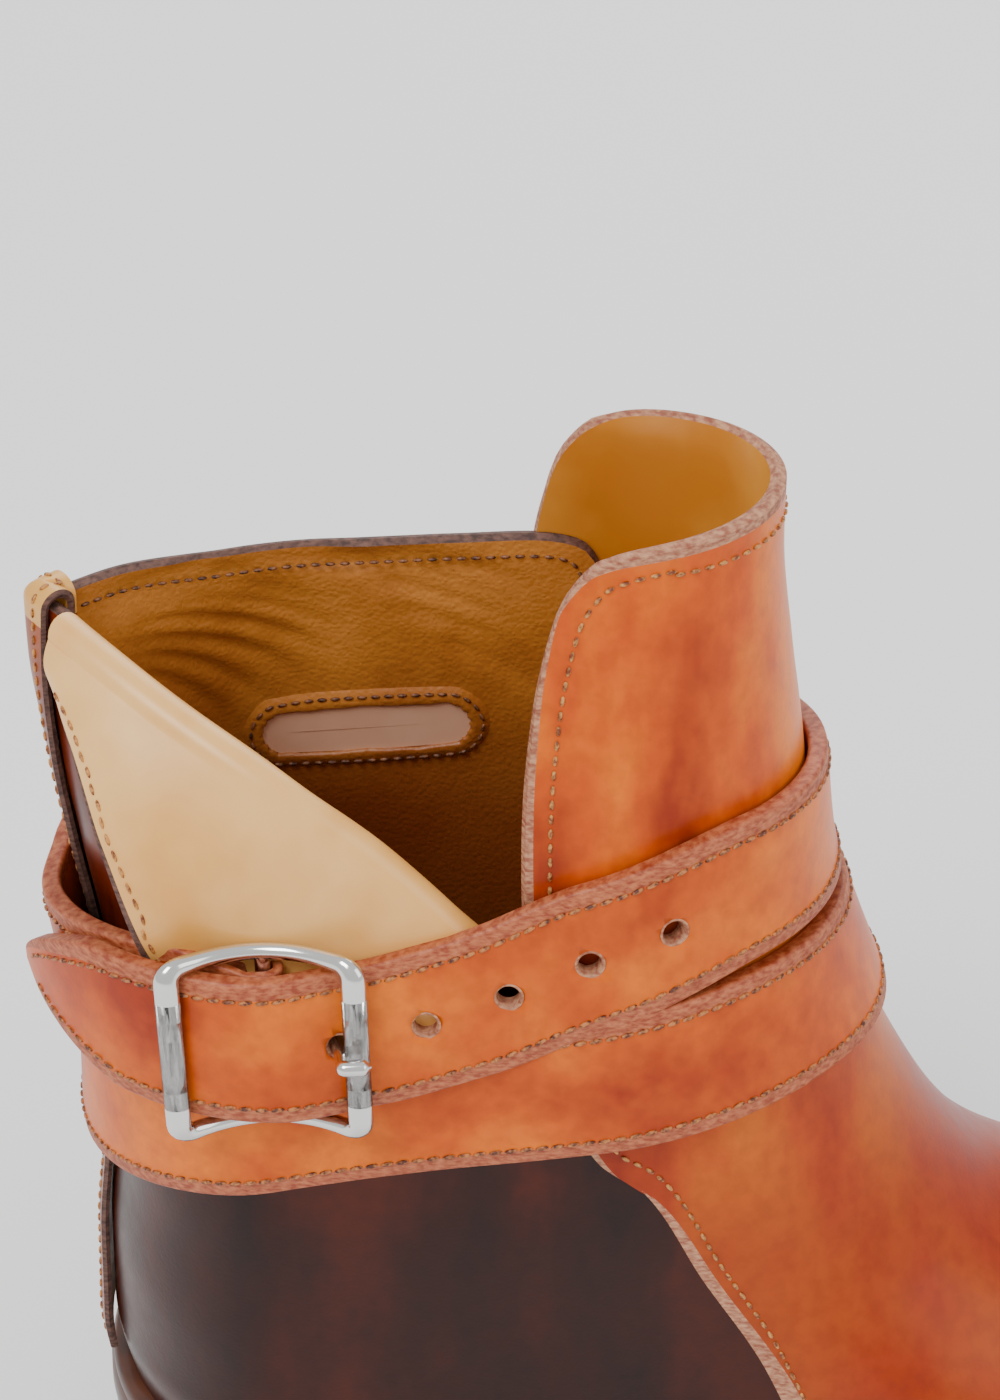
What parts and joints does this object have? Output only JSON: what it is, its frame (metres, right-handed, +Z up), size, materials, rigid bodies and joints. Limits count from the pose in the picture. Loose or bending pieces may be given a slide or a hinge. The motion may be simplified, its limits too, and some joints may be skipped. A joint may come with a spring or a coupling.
{
  "type": "strap jodhpur ankle boot",
  "caption": "Ankle boot with a tall plain front panel, open sides, a turned-out outer quarter and one long buckled strap wrapped twice round the ankle.",
  "frame": {"origin": "on the ground under the middle of the boot's box", "axes": "+X from heel to toe, +Y to the inner side of the foot, +Z up"},
  "size_m": [0.3082, 0.114, 0.2102],
  "materials": {
    "upper": "burnished tan calf, glossy, with orange and red-brown patina",
    "backstay": "burnished red-brown calf with a dark raw edge",
    "strap": "burnished orange-brown calf, two stitch rows, red edges",
    "buckle": "polished nickel plate",
    "insole": "smooth natural lining leather",
    "welt": "dark brown stitched welt leather",
    "outsole": "oak-bark sole leather, dark waxed edge",
    "heel": "stacked heel leather, waxed dark brown",
    "top_piece": "matt moulded rubber"
  },
  "bodies": {
    "root": {"upper": "upper", "backstay": "backstay", "strap": "strap", "buckle_frame": "buckle", "buckle_prong": "buckle", "insole": "insole", "welt": "welt", "outsole": "outsole", "heel_lift_1": "heel", "heel_lift_2": "heel", "heel_lift_3": "heel", "top_piece": "top_piece"}
  },
  "joints": []
}
